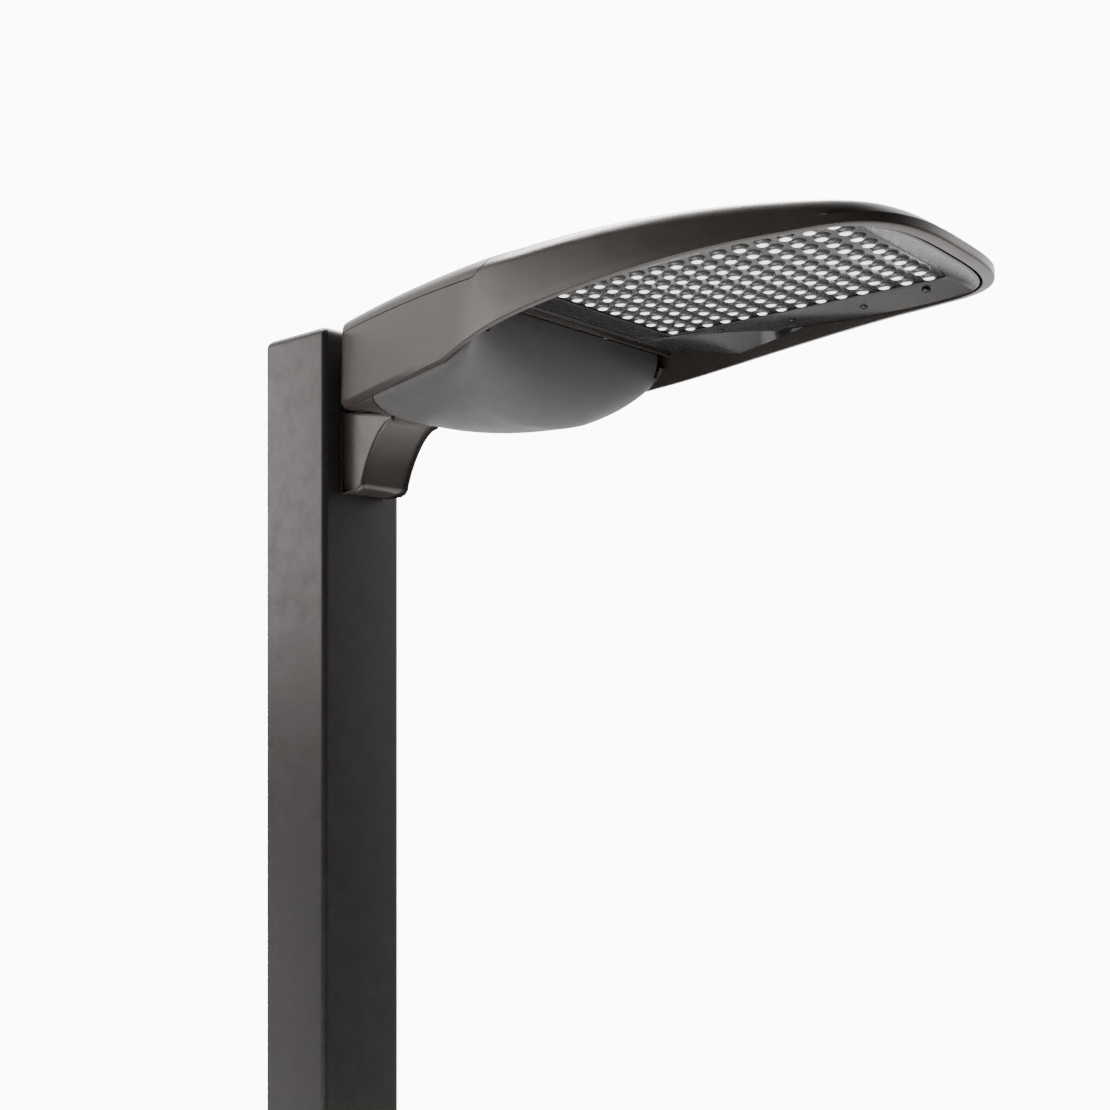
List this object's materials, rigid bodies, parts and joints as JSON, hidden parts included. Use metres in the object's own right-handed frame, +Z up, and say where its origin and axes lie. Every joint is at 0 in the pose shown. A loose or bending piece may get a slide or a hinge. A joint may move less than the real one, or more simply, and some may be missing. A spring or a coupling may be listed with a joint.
{
  "type": "street lamp post",
  "caption": "Square steel pole on a covered base plate, carrying one slim die-cast LED area luminaire on a short coved arm at its top.",
  "frame": {"origin": "pole axis at the underside of the base plate", "axes": "+Z up the pole, +X from the pole towards the nose of the luminaire"},
  "size_m": [0.847, 0.302, 3.6686],
  "materials": {
    "pole_paint": "satin dark bronze powder coat on steel",
    "cover_paint": "satin dark bronze powder coat on cast aluminium",
    "casting_paint": "satin dark bronze powder coat on die-cast aluminium",
    "door_paint": "satin dark grey-bronze powder coat on die-cast aluminium",
    "frame_paint": "satin charcoal coat on pressed aluminium",
    "stainless": "brushed stainless",
    "zinc_steel": "zinc plated, slightly dull",
    "lug_brass": "plain brass",
    "gasket_rubber": "matt black silicone rubber",
    "latch_plastic": "matt black moulded",
    "driver_case": "plain satin case",
    "module_plastic": "matt off-white moulded",
    "lead_insulation": "smooth red insulation",
    "bare_aluminium": "bare mill finish",
    "board_white": "white solder resist",
    "lens_clear": "clear moulded optic"
  },
  "bodies": {
    "root": {"pole_tube": "pole_paint", "base_plate": "pole_paint", "handhole_frame": "pole_paint", "ground_lug": "lug_brass", "pole_cap": "cover_paint", "arm_bracket": "casting_paint", "arm_gasket": "gasket_rubber", "arm_bolts": "zinc_steel", "arm_washers": "zinc_steel", "nut_plate": "zinc_steel", "wire_grommet": "gasket_rubber", "saddle_screws": "stainless", "housing": "casting_paint", "top_gasket": "gasket_rubber", "hinge_pins": "stainless", "bulkhead_gland": "latch_plastic", "driver_tray": "zinc_steel", "tray_screws": "stainless", "led_driver": "driver_case", "surge_protector": "module_plastic", "terminal_block": "module_plastic", "led_harness": "lead_insulation", "heat_spreader": "bare_aluminium", "led_board": "board_white", "lens_panel": "lens_clear", "lens_gasket": "gasket_rubber", "light_frame": "frame_paint", "frame_screws": "stainless"},
    "driver_door": {"driver_door": "door_paint", "door_gasket": "gasket_rubber"},
    "door_latch": {"door_latch": "latch_plastic"},
    "top_cover": {"top_cover": "casting_paint", "cover_screws": "stainless"},
    "base_cover": {"base_cover": "cover_paint", "base_cover_screws": "stainless"},
    "handhole_cover": {"handhole_cover": "cover_paint", "handhole_screws": "stainless"}
  },
  "joints": [
    {"name": "door_hinge", "type": "hinge", "parent": "root", "child": "driver_door", "pos_m": [0.343, 0, 3.605], "axis": [0, -1, 0], "range_deg": [0, 80]},
    {"name": "latch_slide", "type": "slide", "parent": "driver_door", "child": "door_latch", "axis": [1, 0, 0], "range_m": [0, 0.006], "stiffness_N_per_m": 200},
    {"name": "top_cover_lift", "type": "slide", "parent": "root", "child": "top_cover", "axis": [0, 0, 1], "range_m": [0, 0.08]},
    {"name": "base_cover_lift", "type": "slide", "parent": "root", "child": "base_cover", "axis": [0, 0, 1], "range_m": [0, 0.25]},
    {"name": "handhole_cover_pull", "type": "slide", "parent": "root", "child": "handhole_cover", "axis": [0, -1, 0], "range_m": [0, 0.06]}
  ]
}
